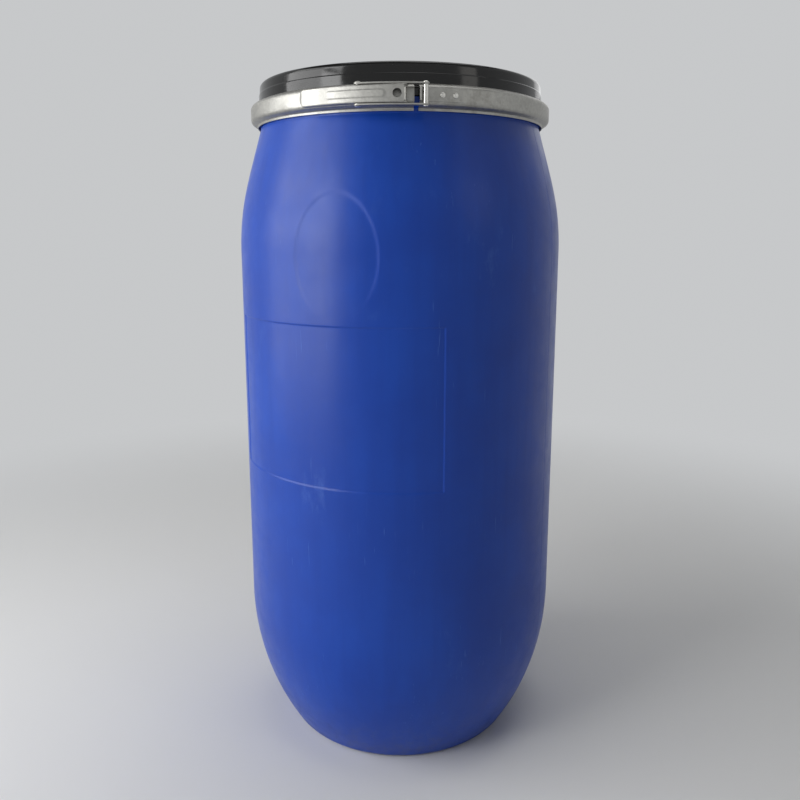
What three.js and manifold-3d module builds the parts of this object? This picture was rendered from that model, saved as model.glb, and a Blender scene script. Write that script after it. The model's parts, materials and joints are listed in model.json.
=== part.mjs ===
// Blow-moulded open head drum with a plug lid, a rubber gasket and a lever-lock clamp ring.
// Millimetres, +Z up. The origin is the middle of the foot circle, on the floor.
// Angles are in degrees around the axis, from the front (-Y) towards the right (+X).
import * as THREE from "three";
import { mergeVertices } from "three/addons/utils/BufferGeometryUtils.js";
import Module from "manifold-3d";

const wasm = await Module();
wasm.setup();

// ---- Driving dimensions ----

const FACETS = 48; // facets around the axis
const TURN = 360 / FACETS;
const ARC_STEP = 4; // degrees between the points of a curved plate
const SLIVER = 0.01; // edges shorter than this are closed up

// Drum body
const BODY_RADIUS = 241;
const RIM_TOP = 941; // height of the mouth's sealing face
const WALL = 4.5;
const HEEL_HEIGHT = 215; // height at which the heel runs into the straight wall
const HEEL_ARC = 394; // radius of the heel, seen from the side
const FOOT_ROUND = 10; // rounding between the foot ring and the heel
const FOOT_WIDTH = 16; // width of the ring that stands on the floor
const BASE_RECESS = 12; // height of the base's middle above the floor
const BASE_SLOPE = 22; // width of the slope from the foot ring up to the middle
const SHOULDER_HEIGHT = 196; // from the straight wall's top to the rim
const SHOULDER_PULL = 70; // how far the shoulder curve holds its direction at each end
const SHOULDER_SLOPE = 0.277; // radius lost for each millimetre of height below the neck
const NECK_RADIUS = 206.5;
const NECK_HEIGHT = 19; // from the neck's foot to the rim
const BEAD_REACH = 10; // how far the rim bead and the lid's flange stand out past the neck
const BEAD_HEIGHT = 13.6; // from the neck up to the rim, under the bead
const CLAMP_CONE = 0.42; // slope of the clamped faces: height for each millimetre of radius
const EDGE = 1.5; // small chamfers

// Flat label field and upright oval, both pressed into the wall
const LABEL_ANGLES = [-71, 14];
const LABEL_DROP = 285; // from the rim down to the label field's top
const LABEL_HEIGHT = 220;
const LABEL_DEPTH = 1.1;
const OVAL_ANGLE = -20.5;
const OVAL_DROP = 196; // from the rim down to the oval's middle
const OVAL_WIDTH = 118;
const OVAL_HEIGHT = 162;
const OVAL_DEPTH = 1;

// Lid and gasket
const LID_WALL = 3.5;
const LID_TOP = 44; // from the rim to the lid's top
const LID_RING_REACH = 1.5; // how far the raised ring's foot stands out past the neck
const LID_RING_DRAFT = 2; // radius lost up to its top
const LID_RING_ROUND = 7; // rounding of its top edge
const LID_BEAD_WIDTH = 9; // width of the thick top edge
const FLANGE_HEIGHT = 11.3; // from the rim to the flange's outer top edge
const DECK_HEIGHT = 14; // deck above the rim
const DECK_STEP = 3; // the deck's middle lies lower
const DECK_BORDER = 52; // width of the deck's higher outer part, from the mouth's wall
const PLUG_DEPTH = 16; // how far the plug goes down into the neck
const PLUG_CLEARANCE = 1;
const LIP_CLEARANCE = 0.5; // between the rim and the flange beside the gasket
const GASKET_INSET = 2.5; // from the mouth's wall to the gasket
const GASKET_WIDTH = 8.5;
const GASKET_HEIGHT = 3;
const RIB_COUNT = 8;
const RIB_HEIGHT = 8;
const RIB_THICKNESS = 3;
const RIB_START = 40;

// Clamp band
const BAND_THICKNESS = 1.2;
const BAND_CLEARANCE = 2.3; // between the bead and the band's web
const CLAMP_GAP = 0.6; // between the clamped slopes and the band's flanges
const BAND_REACH = 7; // how far the flanges grip inwards over the bead
const SPLIT_ANGLES = [4.6, 6.3];

// Closure: hinge, lever, links and hook
const GAP = 0.3; // between pieces that lie on each other
const PLATE_GAP = 0.4; // between pieces that turn past each other
const HINGE_ANGLE = 1.2;
const HINGE_STANDOFF = 7; // from the band to the hinge's axis
const HINGE_PIN_RADIUS = 3;
const PIN_CLEARANCE = 0.25;
const LEVER_END_ANGLE = -34.7;
const LEVER_HEIGHT = 22;
const LEVER_SHEET = 1.5;
const LEVER_LIFT = 1.6; // from the band to the lever's inner edge
const EAR_CLEARANCE = 0.8; // between the hinge ears and the lever's web
const LEVER_DEPTH_END = 4.6; // depth of the channel at its free end
const LEVER_END_ROUND = 9;
const LEVER_HOLE_ANGLE = -0.87;
const LEVER_HOLE_RADIUS = 5.5;
const LEVER_RIB_ANGLES = [-23.8, -4.6];
const LEVER_RIB_HEIGHT = 9;
const LEVER_RIB_RISE = 0.8;
const BRACKET_SHEET = 1.8;
const BASE_SHEET = 1.2;
const BRACKET_START_ANGLE = -11;
const BRACKET_END_ANGLE = 2.8;
const EAR_RADIUS = 4.2;
const LINK_PIN_ANGLE = -13.2;
const CATCH_ANGLE = 8;
const LINK_STANDOFF = 6.5; // from the band to the link's middle line
const LINK_HALF_WIDTH = 4.8;
const LINK_SHEET = 2;
const LINK_PIN_RADIUS = 2.5;
const LINK_PIN_HEAD_RADIUS = 4;
const LINK_PIN_HEAD = 1.5;
const CATCH_BAR_RADIUS = 3.5;
const CATCH_BAR_OVERHANG = 1.4; // how far the bar stands past the link plates
const HOOK_CLEARANCE = 1.2; // between the bar and the hook's lug, which the bar needs to swing clear
const HOOK_LUG = 2.4;
const HOOK_HEIGHT = 16;
const HOOK_END_ANGLE = 21;
const RIVET_RADIUS = 2;
const RIVET_HEAD_RADIUS = 3.4;
const RIVET_HEAD = 1.4;
const RIVET_TAIL = 0.8;
const BRACKET_RIVET_ANGLES = [-8.6, -4.6];
const HOOK_RIVET_ANGLES = [13.8, 18.2];

// ---- Places that follow from the driving dimensions ----

const MOUTH_RADIUS = NECK_RADIUS - WALL;
const BEAD_RADIUS = NECK_RADIUS + BEAD_REACH;
const BEAD_BOTTOM = RIM_TOP - BEAD_HEIGHT;
const BEAD_EDGE = BEAD_BOTTOM + (BEAD_RADIUS - NECK_RADIUS) * CLAMP_CONE;
const FLANGE_EDGE = RIM_TOP + FLANGE_HEIGHT;
const GASKET_INNER = MOUTH_RADIUS + GASKET_INSET;
const LID_RING_RADIUS = NECK_RADIUS + LID_RING_REACH;
const DECK_STEP_RADIUS = MOUTH_RADIUS - DECK_BORDER;
const LABEL_TOP = RIM_TOP - LABEL_DROP;
const OVAL_MIDDLE = RIM_TOP - OVAL_DROP;
const BAND_INNER = BEAD_RADIUS + BAND_CLEARANCE;
const BAND_OUTER = BAND_INNER + BAND_THICKNESS;
const BAND_MIDDLE = (BEAD_EDGE + FLANGE_EDGE) / 2;
const HINGE_RADIUS = BAND_OUTER + HINGE_STANDOFF;
const LEVER_INNER = BAND_OUTER + LEVER_LIFT;
const LEVER_TOP = BAND_MIDDLE + LEVER_HEIGHT / 2;
const LEVER_BOTTOM = BAND_MIDDLE - LEVER_HEIGHT / 2;
const LINK_RADIUS = BAND_OUTER + LINK_STANDOFF;
const SEAT_RADIUS = BAND_OUTER + GAP;
const BASE_OUTER = SEAT_RADIUS + BASE_SHEET;

// ---- Helpers ----

const rad = THREE.MathUtils.degToRad;
const point = (radius, height) => new THREE.Vector2(radius, height);

// A place in plan, at a radius and an angle from the front.
function plan(radius, angle) {
  return new THREE.Vector2(radius * Math.sin(rad(angle)), -radius * Math.cos(rad(angle)));
}

// The angle that a length covers along a circle.
const angleOf = (length, radius) => THREE.MathUtils.radToDeg(length / radius);

// Turns a closed three.js geometry into a manifold solid.
function solid(geometry) {
  const bare = geometry.clone();
  bare.deleteAttribute("normal");
  bare.deleteAttribute("uv");
  const merged = mergeVertices(bare, 1e-4);
  const index = merged.index.array;
  const triangles = [];
  for (let i = 0; i < index.length; i += 3) {
    const [a, b, c] = [index[i], index[i + 1], index[i + 2]];
    if (a !== b && b !== c && c !== a) triangles.push(a, b, c);
  }
  const mesh = new wasm.Mesh({
    numProp: 3,
    vertProperties: new Float32Array(merged.attributes.position.array),
    triVerts: new Uint32Array(triangles),
  });
  mesh.merge();
  return new wasm.Manifold(mesh);
}

// Turns a closed outline of radius and height around the drum's axis.
function revolve(outline) {
  const geometry = new THREE.LatheGeometry(outline, FACETS);
  geometry.rotateX(Math.PI / 2);
  return solid(geometry);
}

// Raises a plan outline from one height to another.
function raise(outline, bottom, top) {
  const shape = new THREE.Shape(outline);
  const geometry = new THREE.ExtrudeGeometry(shape, { depth: top - bottom, bevelEnabled: false });
  geometry.translate(0, 0, bottom);
  return solid(geometry);
}

// An upright round bar at a radius and an angle.
function upright(barRadius, radius, angle, bottom, top, sides = 16) {
  const centre = plan(radius, angle);
  const geometry = new THREE.CylinderGeometry(barRadius, barRadius, top - bottom, sides);
  geometry.rotateX(Math.PI / 2);
  geometry.translate(centre.x, centre.y, (bottom + top) / 2);
  return solid(geometry);
}

// A round or oval bar that points straight out from the axis.
function spoke(halfWidth, halfHeight, inner, outer, angle, height, sides = 12) {
  const geometry = new THREE.CylinderGeometry(1, 1, outer - inner, sides);
  geometry.scale(halfWidth, 1, halfHeight);
  geometry.translate(0, -(inner + outer) / 2, height);
  geometry.rotateZ(rad(angle));
  return solid(geometry);
}

// Points in plan along a curve whose radius is a function of the angle.
function arc(radiusAt, start, end) {
  const steps = Math.max(2, Math.ceil((end - start) / ARC_STEP));
  return Array.from({ length: steps + 1 }, (_, i) => {
    const angle = start + ((end - start) * i) / steps;
    return plan(radiusAt(angle), angle);
  });
}

// Plan outline between an inner and an outer radius, each a function of the angle.
function strip(innerAt, outerAt, start, end) {
  return [...arc(outerAt, start, end), ...arc(innerAt, start, end).reverse()];
}

// A curved plate of constant radii between two heights.
function curvedPlate(inner, outer, start, end, bottom, top) {
  return raise(strip(() => inner, () => outer, start, end), bottom, top);
}

// A wedge of the full circle, from the axis out to a radius.
function wedge(radius, start, end, bottom, top) {
  return raise([plan(0, 0), ...arc(() => radius, start, end)], bottom, top);
}

// ---- Drum body ----

// Heel, shoulder and wall as radius and height, from the foot to the neck.
function bodySide() {
  const start = Math.asin((HEEL_HEIGHT - FOOT_ROUND) / HEEL_ARC);
  const heel = Array.from({ length: 7 }, (_, i) => {
    const angle = start * (1 - i / 6);
    return point(BODY_RADIUS - HEEL_ARC * (1 - Math.cos(angle)), HEEL_HEIGHT - HEEL_ARC * Math.sin(angle));
  });
  const wallTop = RIM_TOP - SHOULDER_HEIGHT;
  const neckFoot = RIM_TOP - NECK_HEIGHT;
  const shoulder = new THREE.CubicBezierCurve(
    point(BODY_RADIUS, wallTop),
    point(BODY_RADIUS, wallTop + SHOULDER_PULL),
    point(NECK_RADIUS + SHOULDER_SLOPE * SHOULDER_PULL, neckFoot - SHOULDER_PULL),
    point(NECK_RADIUS, neckFoot),
  );
  return [...heel, ...shoulder.getPoints(6)];
}

function bodyOutline() {
  const side = bodySide();
  const edge = side[0].x;
  const foot = edge - FOOT_ROUND / 2;
  const footRound = new THREE.QuadraticBezierCurve(point(foot - FOOT_ROUND, 0), point(foot, 0), side[0]);
  const footInner = foot - FOOT_ROUND - FOOT_WIDTH;
  const middle = footInner - BASE_SLOPE;
  const inside = side.map((p) => point(p.x - WALL, p.y)).reverse();
  return [
    point(0, BASE_RECESS),
    point(middle, BASE_RECESS),
    point(footInner, 0),
    ...footRound.getPoints(3),
    ...side.slice(1),
    point(NECK_RADIUS, BEAD_BOTTOM),
    point(BEAD_RADIUS, BEAD_EDGE),
    point(BEAD_RADIUS, RIM_TOP - EDGE),
    point(BEAD_RADIUS - EDGE, RIM_TOP),
    point(MOUTH_RADIUS + EDGE, RIM_TOP),
    point(MOUTH_RADIUS, RIM_TOP - EDGE),
    ...inside,
    point(foot - FOOT_ROUND, WALL),
    point(footInner + WALL, WALL),
    point(middle, BASE_RECESS + WALL),
    point(0, BASE_RECESS + WALL),
  ];
}

// A ring that reaches a given depth into the body's outer face.
function skin(depth, bottom, top) {
  const side = bodySide();
  const between = side.filter((p) => p.y > bottom && p.y < top).map((p) => p.y);
  const radiusAt = (height) => {
    const above = side.findIndex((p) => p.y >= height);
    const low = side[above - 1];
    const high = side[above];
    return THREE.MathUtils.mapLinear(height, low.y, high.y, low.x, high.x);
  };
  const face = [top, ...between.reverse(), bottom].map((height) => point(radiusAt(height) - depth, height));
  const outside = BODY_RADIUS + WALL;
  return revolve([...face, point(outside, bottom), point(outside, top), face[0].clone()]);
}

function drumBody() {
  const labelHeights = [LABEL_TOP - LABEL_HEIGHT, LABEL_TOP];
  const label = skin(LABEL_DEPTH, ...labelHeights).intersect(
    wedge(BODY_RADIUS * 1.5, ...LABEL_ANGLES, ...labelHeights),
  );
  const ovalBottom = OVAL_MIDDLE - OVAL_HEIGHT / 2;
  const ovalTop = OVAL_MIDDLE + OVAL_HEIGHT / 2;
  const ovalBar = spoke(
    OVAL_WIDTH / 2, OVAL_HEIGHT / 2, BODY_RADIUS / 2, BODY_RADIUS * 1.5, OVAL_ANGLE, OVAL_MIDDLE, 32,
  );
  const oval = skin(OVAL_DEPTH, ovalBottom - 1, ovalTop + 1).intersect(ovalBar);
  return revolve(bodyOutline()).subtract(label).subtract(oval);
}

// ---- Lid and gasket ----

function lidOutline() {
  const plug = MOUTH_RADIUS - PLUG_CLEARANCE;
  const under = RIM_TOP + LIP_CLEARANCE;
  const roof = RIM_TOP + GASKET_HEIGHT + GAP;
  const deck = RIM_TOP + DECK_HEIGHT;
  const top = RIM_TOP + LID_TOP;
  const flangeTop = FLANGE_EDGE + (BEAD_RADIUS - LID_RING_RADIUS) * CLAMP_CONE;
  const crest = LID_RING_RADIUS - LID_RING_DRAFT;
  const round = new THREE.QuadraticBezierCurve(
    point(crest, top - LID_RING_ROUND), point(crest, top), point(crest - LID_RING_ROUND / 2, top),
  );
  const beadInner = crest - LID_BEAD_WIDTH;
  return [
    point(0, deck - DECK_STEP - LID_WALL),
    point(DECK_STEP_RADIUS, deck - DECK_STEP - LID_WALL),
    point(DECK_STEP_RADIUS + DECK_STEP, deck - LID_WALL),
    point(plug - LID_WALL, deck - LID_WALL),
    point(plug - LID_WALL, RIM_TOP - PLUG_DEPTH),
    point(plug - EDGE, RIM_TOP - PLUG_DEPTH),
    point(plug, RIM_TOP - PLUG_DEPTH + 2 * EDGE),
    point(plug, under),
    point(GASKET_INNER - GAP, under),
    point(GASKET_INNER - GAP, roof),
    point(GASKET_INNER + GASKET_WIDTH + GAP, roof),
    point(GASKET_INNER + GASKET_WIDTH + GAP, under),
    point(BEAD_RADIUS, under),
    point(BEAD_RADIUS, FLANGE_EDGE),
    point(LID_RING_RADIUS, flangeTop),
    ...round.getPoints(4),
    point(beadInner + EDGE, top),
    point(beadInner, top - EDGE),
    point(beadInner, top - LID_RING_ROUND),
    point(crest - LID_WALL, top - LID_RING_ROUND - LID_WALL),
    point(LID_RING_RADIUS - LID_WALL, deck),
    point(DECK_STEP_RADIUS + DECK_STEP, deck),
    point(DECK_STEP_RADIUS, deck - DECK_STEP),
    point(0, deck - DECK_STEP),
  ];
}

function lid() {
  const deck = RIM_TOP + DECK_HEIGHT;
  const length = LID_RING_RADIUS - LID_WALL - LID_RING_DRAFT - RIB_START;
  const bottom = deck - DECK_STEP - LID_WALL / 2;
  const top = deck + RIB_HEIGHT;
  let result = revolve(lidOutline());
  for (let i = 0; i < RIB_COUNT; i += 1) {
    const rib = new THREE.BoxGeometry(RIB_THICKNESS, length, top - bottom);
    rib.translate(0, -(RIB_START + length / 2), (bottom + top) / 2);
    rib.rotateZ(rad(((i + 0.5) * 360) / RIB_COUNT));
    result = result.add(solid(rib));
  }
  return result;
}

function lidGasket() {
  const outer = GASKET_INNER + GASKET_WIDTH;
  return revolve([
    point(GASKET_INNER, RIM_TOP),
    point(outer, RIM_TOP),
    point(outer, RIM_TOP + GASKET_HEIGHT),
    point(GASKET_INNER, RIM_TOP + GASKET_HEIGHT),
    point(GASKET_INNER, RIM_TOP),
  ]);
}

// ---- Clamp band ----

function clampBand() {
  const tip = BEAD_RADIUS - BAND_REACH;
  const sheet = BAND_THICKNESS * Math.hypot(1, CLAMP_CONE);
  const lower = (radius) => BEAD_EDGE - CLAMP_GAP + (radius - BEAD_RADIUS) * CLAMP_CONE;
  const upper = (radius) => FLANGE_EDGE + CLAMP_GAP - (radius - BEAD_RADIUS) * CLAMP_CONE;
  const ring = revolve([
    point(tip, lower(tip) - sheet),
    point(BAND_OUTER, lower(BAND_OUTER) - sheet),
    point(BAND_OUTER, upper(BAND_OUTER) + sheet),
    point(tip, upper(tip) + sheet),
    point(tip, upper(tip)),
    point(BAND_INNER, upper(BAND_INNER)),
    point(BAND_INNER, lower(BAND_INNER)),
    point(tip, lower(tip)),
    point(tip, lower(tip) - sheet),
  ]);
  const split = wedge(
    BAND_OUTER * 1.2, ...SPLIT_ANGLES, BEAD_BOTTOM - LEVER_HEIGHT, FLANGE_EDGE + LEVER_HEIGHT,
  );
  return drilled(ring.subtract(split), [...BRACKET_RIVET_ANGLES, ...HOOK_RIVET_ANGLES]);
}

// Rivet holes through whatever lies at the band's web.
function drilled(piece, angles) {
  const hole = RIVET_RADIUS + GAP;
  return angles.reduce(
    (rest, angle) => rest.subtract(spoke(hole, hole, BEAD_RADIUS, BASE_OUTER + 2, angle, BAND_MIDDLE)),
    piece,
  );
}

// A rivet through the band's web and the sheet that lies on it.
function rivet(angle) {
  const facetMiddle = BAND_INNER * Math.cos(rad(TURN / 2));
  const tailOuter = facetMiddle - GAP;
  const headInner = BASE_OUTER + GAP;
  const shank = spoke(
    RIVET_RADIUS, RIVET_RADIUS, tailOuter - RIVET_TAIL, headInner + 1, angle, BAND_MIDDLE,
  );
  const tail = spoke(
    RIVET_HEAD_RADIUS, RIVET_HEAD_RADIUS, tailOuter - RIVET_TAIL, tailOuter, angle, BAND_MIDDLE,
  );
  const head = spoke(
    RIVET_HEAD_RADIUS, RIVET_HEAD_RADIUS, headInner, headInner + RIVET_HEAD, angle, BAND_MIDDLE,
  );
  return shank.add(tail).add(head);
}

// ---- Closure ----

// Sheet U: a foot that lies on the band, and two ears that hold the hinge pin.
function hingeBracket() {
  const bottom = LEVER_BOTTOM + LEVER_SHEET + PLATE_GAP;
  const top = LEVER_TOP - LEVER_SHEET - PLATE_GAP;
  const halfTurn = angleOf(EAR_RADIUS, HINGE_RADIUS);
  let bracket = curvedPlate(SEAT_RADIUS, BASE_OUTER, BRACKET_START_ANGLE, BRACKET_END_ANGLE, bottom, top);
  for (const low of [bottom, top - BRACKET_SHEET]) {
    const high = low + BRACKET_SHEET;
    const arm = curvedPlate(
      SEAT_RADIUS, HINGE_RADIUS, HINGE_ANGLE - halfTurn, HINGE_ANGLE + halfTurn, low, high,
    );
    bracket = bracket.add(arm).add(upright(EAR_RADIUS, HINGE_RADIUS, HINGE_ANGLE, low, high));
  }
  const hingeHole = HINGE_PIN_RADIUS + PIN_CLEARANCE;
  const hole = upright(hingeHole, HINGE_RADIUS, HINGE_ANGLE, LEVER_BOTTOM, LEVER_TOP);
  return drilled(bracket.subtract(hole), BRACKET_RIVET_ANGLES);
}

function hingePin() {
  return upright(HINGE_PIN_RADIUS, HINGE_RADIUS, HINGE_ANGLE, LEVER_BOTTOM, LEVER_TOP);
}

// Outer radius of the lever's channel: deep at the hinge, shallow at the free end.
function leverOuter(angle) {
  const atHinge = HINGE_RADIUS + EAR_RADIUS + EAR_CLEARANCE + LEVER_SHEET;
  const atEnd = LEVER_INNER + LEVER_DEPTH_END;
  return THREE.MathUtils.mapLinear(angle, HINGE_ANGLE, LEVER_END_ANGLE, atHinge, atEnd);
}

// Channel that is open towards the band, with a raised rib, a round hole and a rounded free end.
function lever() {
  const outside = strip(() => LEVER_INNER, leverOuter, LEVER_END_ANGLE, HINGE_ANGLE);
  const hollow = strip(
    () => LEVER_INNER - LEVER_SHEET,
    (angle) => leverOuter(angle) - LEVER_SHEET,
    LEVER_END_ANGLE + angleOf(LEVER_SHEET, LEVER_INNER),
    HINGE_ANGLE + TURN,
  );
  const rib = strip(
    (angle) => leverOuter(angle) - LEVER_SHEET / 2,
    (angle) => leverOuter(angle) + LEVER_RIB_RISE,
    ...LEVER_RIB_ANGLES,
  );
  const ribLow = BAND_MIDDLE - LEVER_RIB_HEIGHT / 2;
  const inside = [LEVER_BOTTOM + LEVER_SHEET, LEVER_TOP - LEVER_SHEET];
  const knuckleRadius = HINGE_RADIUS - LEVER_INNER;
  const knuckle = (low) => upright(knuckleRadius, HINGE_RADIUS, HINGE_ANGLE, low, low + LEVER_SHEET);
  const hingeHole = HINGE_PIN_RADIUS + PIN_CLEARANCE;
  const linkHole = LINK_PIN_RADIUS + PIN_CLEARANCE;
  const window = spoke(
    LEVER_HOLE_RADIUS, LEVER_HOLE_RADIUS, HINGE_RADIUS, BODY_RADIUS, LEVER_HOLE_ANGLE, BAND_MIDDLE, 24,
  );
  return raise(outside, LEVER_BOTTOM, LEVER_TOP)
    .subtract(raise(hollow, ...inside))
    .add(knuckle(LEVER_BOTTOM))
    .add(knuckle(LEVER_TOP - LEVER_SHEET))
    .add(raise(rib, ribLow, ribLow + LEVER_RIB_HEIGHT))
    .subtract(upright(hingeHole, HINGE_RADIUS, HINGE_ANGLE, LEVER_BOTTOM, LEVER_TOP))
    .subtract(upright(linkHole, LINK_RADIUS, LINK_PIN_ANGLE, LEVER_BOTTOM, LEVER_TOP))
    .subtract(window)
    .intersect(leverElevation());
}

// What the lever keeps, seen from the front: a bar with a rounded free end.
function leverElevation() {
  const end = plan(leverOuter(LEVER_END_ANGLE), LEVER_END_ANGLE);
  const round = LEVER_END_ROUND;
  const shape = new THREE.Shape();
  shape.moveTo(BODY_RADIUS, LEVER_BOTTOM);
  shape.lineTo(BODY_RADIUS, LEVER_TOP);
  shape.lineTo(end.x + round, LEVER_TOP);
  shape.absarc(end.x + round, LEVER_TOP - round, round, Math.PI / 2, Math.PI);
  shape.absarc(end.x + round, LEVER_BOTTOM + round, round, Math.PI, Math.PI * 1.5);
  const geometry = new THREE.ExtrudeGeometry(shape, {
    depth: 2 * BODY_RADIUS, bevelEnabled: false, curveSegments: 5,
  });
  geometry.rotateX(Math.PI / 2);
  return solid(geometry);
}

// One of the two plates that carry the pull from the lever to the catch bar.
function linkPlate(bottom) {
  const top = bottom + LINK_SHEET;
  return curvedPlate(
    LINK_RADIUS - LINK_HALF_WIDTH, LINK_RADIUS + LINK_HALF_WIDTH, LINK_PIN_ANGLE, CATCH_ANGLE, bottom, top,
  )
    .add(upright(LINK_HALF_WIDTH, LINK_RADIUS, LINK_PIN_ANGLE, bottom, top, 24))
    .add(upright(LINK_HALF_WIDTH, LINK_RADIUS, CATCH_ANGLE, bottom, top, 24))
    .subtract(upright(LINK_PIN_RADIUS + PIN_CLEARANCE, LINK_RADIUS, LINK_PIN_ANGLE, bottom, top))
    .subtract(upright(CATCH_BAR_RADIUS + PIN_CLEARANCE, LINK_RADIUS, CATCH_ANGLE, bottom, top));
}

const UPPER_LINK_BOTTOM = LEVER_TOP + PLATE_GAP;
const LOWER_LINK_BOTTOM = LEVER_BOTTOM - PLATE_GAP - LINK_SHEET;
const LINK_OUTSIDE = UPPER_LINK_BOTTOM + LINK_SHEET;

function linkPin() {
  const headBottom = LINK_OUTSIDE + GAP;
  const top = headBottom + LINK_PIN_HEAD;
  const bottom = 2 * BAND_MIDDLE - top;
  return upright(LINK_PIN_RADIUS, LINK_RADIUS, LINK_PIN_ANGLE, bottom, top)
    .add(upright(LINK_PIN_HEAD_RADIUS, LINK_RADIUS, LINK_PIN_ANGLE, headBottom, top))
    .add(upright(LINK_PIN_HEAD_RADIUS, LINK_RADIUS, LINK_PIN_ANGLE, bottom, bottom + LINK_PIN_HEAD));
}

function catchBar() {
  const top = LINK_OUTSIDE + CATCH_BAR_OVERHANG;
  return upright(CATCH_BAR_RADIUS, LINK_RADIUS, CATCH_ANGLE, 2 * BAND_MIDDLE - top, top, 20);
}

// Sheet hook: a foot that lies on the band, and a lug that the catch bar pulls on.
function catchHook() {
  const low = BAND_MIDDLE - HOOK_HEIGHT / 2;
  const lugEnd = CATCH_ANGLE - angleOf(CATCH_BAR_RADIUS + HOOK_CLEARANCE, LINK_RADIUS);
  const lugStart = lugEnd - angleOf(HOOK_LUG, LINK_RADIUS);
  const tip = LINK_RADIUS + CATCH_BAR_RADIUS;
  const foot = curvedPlate(SEAT_RADIUS, BASE_OUTER, lugStart, HOOK_END_ANGLE, low, low + HOOK_HEIGHT);
  const lug = curvedPlate(SEAT_RADIUS, tip, lugStart, lugEnd, low, low + HOOK_HEIGHT);
  return drilled(foot.add(lug), HOOK_RIVET_ANGLES);
}

// ---- Assembly ----

const finish = (color, roughness, metalness) => ({ color, roughness, metalness });
const BLUE_PLASTIC = finish(0x1238b8, 0.48, 0);
const BLACK_PLASTIC = finish(0x0b0b0c, 0.18, 0);
const RUBBER = finish(0x151515, 0.8, 0);
const GALVANISED = finish(0xb9b7b0, 0.38, 0.9);
const ZINC = finish(0xc9c8c2, 0.3, 1);

const drum = new THREE.Group();

function place(name, piece, look) {
  const { vertProperties, triVerts } = piece.simplify(SLIVER).getMesh();
  const geometry = new THREE.BufferGeometry();
  geometry.setAttribute("position", new THREE.BufferAttribute(vertProperties, 3));
  geometry.setIndex(new THREE.BufferAttribute(triVerts, 1));
  geometry.computeVertexNormals();
  const mesh = new THREE.Mesh(geometry, new THREE.MeshStandardMaterial(look));
  mesh.name = name;
  drum.add(mesh);
}

place("drum_body", drumBody(), BLUE_PLASTIC);
place("lid", lid(), BLACK_PLASTIC);
place("lid_gasket", lidGasket(), RUBBER);
place("clamp_band", clampBand(), GALVANISED);
place("hinge_bracket", hingeBracket(), GALVANISED);
place("hinge_pin", hingePin(), ZINC);
place("catch_hook", catchHook(), GALVANISED);
BRACKET_RIVET_ANGLES.forEach((angle, i) => place(`hinge_bracket_rivet_${i + 1}`, rivet(angle), ZINC));
HOOK_RIVET_ANGLES.forEach((angle, i) => place(`catch_hook_rivet_${i + 1}`, rivet(angle), ZINC));
place("lever", lever(), GALVANISED);
place("link_pin", linkPin(), ZINC);
place("link_plate_upper", linkPlate(UPPER_LINK_BOTTOM), GALVANISED);
place("link_plate_lower", linkPlate(LOWER_LINK_BOTTOM), GALVANISED);
place("catch_bar", catchBar(), ZINC);

export default drum;
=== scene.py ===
import json
import math

import bmesh
import bpy
import numpy as np
from mathutils import Matrix, Vector


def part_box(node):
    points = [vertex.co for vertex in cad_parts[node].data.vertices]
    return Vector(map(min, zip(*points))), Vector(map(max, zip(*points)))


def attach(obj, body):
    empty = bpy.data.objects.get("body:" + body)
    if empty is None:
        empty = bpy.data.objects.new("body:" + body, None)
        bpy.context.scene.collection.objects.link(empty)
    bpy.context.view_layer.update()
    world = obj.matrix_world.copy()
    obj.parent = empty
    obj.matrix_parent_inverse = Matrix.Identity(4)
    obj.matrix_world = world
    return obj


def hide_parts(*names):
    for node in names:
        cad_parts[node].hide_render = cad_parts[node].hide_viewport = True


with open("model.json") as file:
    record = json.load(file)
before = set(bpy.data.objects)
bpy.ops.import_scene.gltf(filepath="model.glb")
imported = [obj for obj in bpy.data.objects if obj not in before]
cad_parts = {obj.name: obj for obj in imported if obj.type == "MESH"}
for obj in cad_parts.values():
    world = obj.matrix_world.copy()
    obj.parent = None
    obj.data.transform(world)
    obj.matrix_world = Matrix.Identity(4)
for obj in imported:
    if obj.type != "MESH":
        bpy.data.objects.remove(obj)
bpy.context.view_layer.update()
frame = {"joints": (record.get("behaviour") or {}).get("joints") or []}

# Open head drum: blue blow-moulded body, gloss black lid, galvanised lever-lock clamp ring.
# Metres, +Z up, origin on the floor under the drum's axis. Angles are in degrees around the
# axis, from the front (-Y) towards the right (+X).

JOINTS = {joint["name"]: joint for joint in frame["joints"]}


# ---- Sizes: the overall ones come from the frame, the rest are the design's own ----

BODY_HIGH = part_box("drum_body")[1]
LID_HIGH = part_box("lid")[1]
BAND_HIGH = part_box("clamp_band")[1]
LEVER_LOW, LEVER_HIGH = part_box("lever")

BODY_RADIUS = BODY_HIGH.x
RIM_TOP = BODY_HIGH.z
WALL = 0.0045
HEEL_HEIGHT = 0.215  # height at which the heel runs into the straight wall
HEEL_ARC = 0.394  # radius of the heel, seen from the side
FOOT_ROUND = 0.010
FOOT_WIDTH = 0.016  # width of the ring that stands on the floor
BASE_RECESS = 0.012  # height of the base's middle above the floor
BASE_SLOPE = 0.022
BASE_ROUND = 0.006
SHOULDER_HEIGHT = 0.196
SHOULDER_FOOT = RIM_TOP - SHOULDER_HEIGHT
SHOULDER_PULL = 0.070  # how far the shoulder curve holds its direction at each end
SHOULDER_SLOPE = 0.277  # radius gained for each unit of height below the neck
BEAD_RADIUS = LID_HIGH.x
BEAD_REACH = 0.010  # how far the rim bead stands out past the neck
BEAD_HEIGHT = 0.0136
NECK_RADIUS = BEAD_RADIUS - BEAD_REACH
NECK_HEIGHT = 0.019
NECK_FOOT = RIM_TOP - NECK_HEIGHT
CLAMP_CONE = 0.42  # slope of the clamped faces: height for each unit of radius
MOUTH_RADIUS = NECK_RADIUS - WALL
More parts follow.
